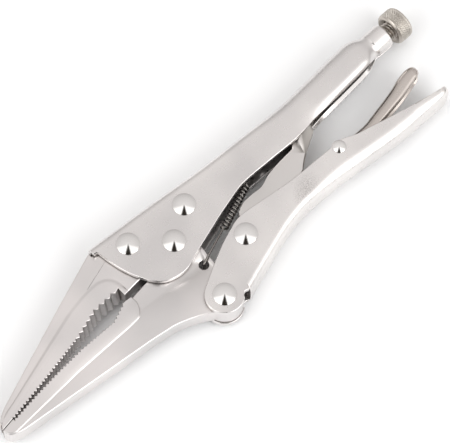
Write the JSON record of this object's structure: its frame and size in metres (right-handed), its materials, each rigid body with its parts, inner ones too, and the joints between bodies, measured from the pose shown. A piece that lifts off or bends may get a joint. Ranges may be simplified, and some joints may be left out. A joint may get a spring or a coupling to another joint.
{
  "type": "long-nose locking pliers",
  "caption": "Long-nose locking pliers in nickel-plated steel, with toggle-locked handles, an adjusting screw, a release lever, serrated tapering jaws and a wide throat.",
  "frame": {"origin": "centre of the object's bounding box in plan, on the plane the tool lies on", "axes": "+X from the nose to the adjusting knob, +Y from the lower handle to the spine of the upper handle, +Z along the rivets, away from the surface the tool lies on"},
  "size_m": [0.224, 0.068, 0.0158],
  "materials": {
    "plated_sheet": "satin nickel plate on pressed sheet, faint grain",
    "forged_jaw": "satin nickel plate on ground forging",
    "plated_link": "satin nickel plate",
    "plated_lever": "satin nickel plate",
    "screw_steel": "plated thread, dull",
    "knob_steel": "diamond-knurled, plated",
    "spring_wire": "dark drawn wire",
    "polished_rivet": "polished dome"
  },
  "bodies": {
    "upper_handle": {"upper_handle": "plated_sheet", "fixed_jaw": "forged_jaw", "fixed_jaw_front_rivet": "polished_rivet", "fixed_jaw_rear_rivet": "polished_rivet", "jaw_pivot_rivet": "polished_rivet", "opening_spring": "spring_wire"},
    "movable_jaw": {"movable_jaw": "forged_jaw"},
    "lower_handle": {"lower_handle": "plated_sheet", "handle_pivot_rivet": "polished_rivet", "link_rivet": "polished_rivet", "lever_rivet": "polished_rivet"},
    "toggle_link": {"toggle_link": "plated_link"},
    "release_lever": {"release_lever": "plated_lever"},
    "adjusting_screw": {"adjusting_screw": "screw_steel"},
    "screw_knob": {"screw_knob": "knob_steel"}
  },
  "joints": [
    {"name": "jaw_open", "type": "hinge", "parent": "upper_handle", "child": "movable_jaw", "pos_m": [-0.01751, 0.00253, 0.00788], "axis": [0, 0, 1], "range_deg": [0, 24.6], "deforming": ["opening_spring"]},
    {"name": "handle_swing", "type": "hinge", "parent": "movable_jaw", "child": "lower_handle", "pos_m": [-0.01561, -0.02637, 0.00788], "axis": [0, 0, -1], "range_deg": [0, 74.5]},
    {"name": "link_pivot", "type": "hinge", "parent": "lower_handle", "child": "toggle_link", "pos_m": [0.00569, -0.01147, 0.00788], "axis": [0, 0, 1], "range_deg": [0, 75.5]},
    {"name": "lever_press", "type": "hinge", "parent": "lower_handle", "child": "release_lever", "pos_m": [0.05639, -0.00397, 0.00788], "axis": [0, 0, -1], "range_deg": [0, 10]},
    {"name": "screw_feed", "type": "slide", "parent": "upper_handle", "child": "adjusting_screw", "axis": [0.9921, 0.1253, 0], "range_m": [0, 0.0141]},
    {"name": "screw_turn", "type": "hinge", "parent": "adjusting_screw", "child": "screw_knob", "pos_m": [0.10109, 0.02603, 0.00788], "axis": [0.9921, 0.1253, 0], "range_deg": [0, 4032]}
  ],
  "couplings": [
    {"joint": "jaw_open", "follows": "handle_swing", "ratio": 0.32886},
    {"joint": "link_pivot", "follows": "handle_swing", "ratio": 1.0121},
    {"joint": "screw_feed", "follows": "screw_turn", "m_per_rad": 0.00019894}
  ]
}
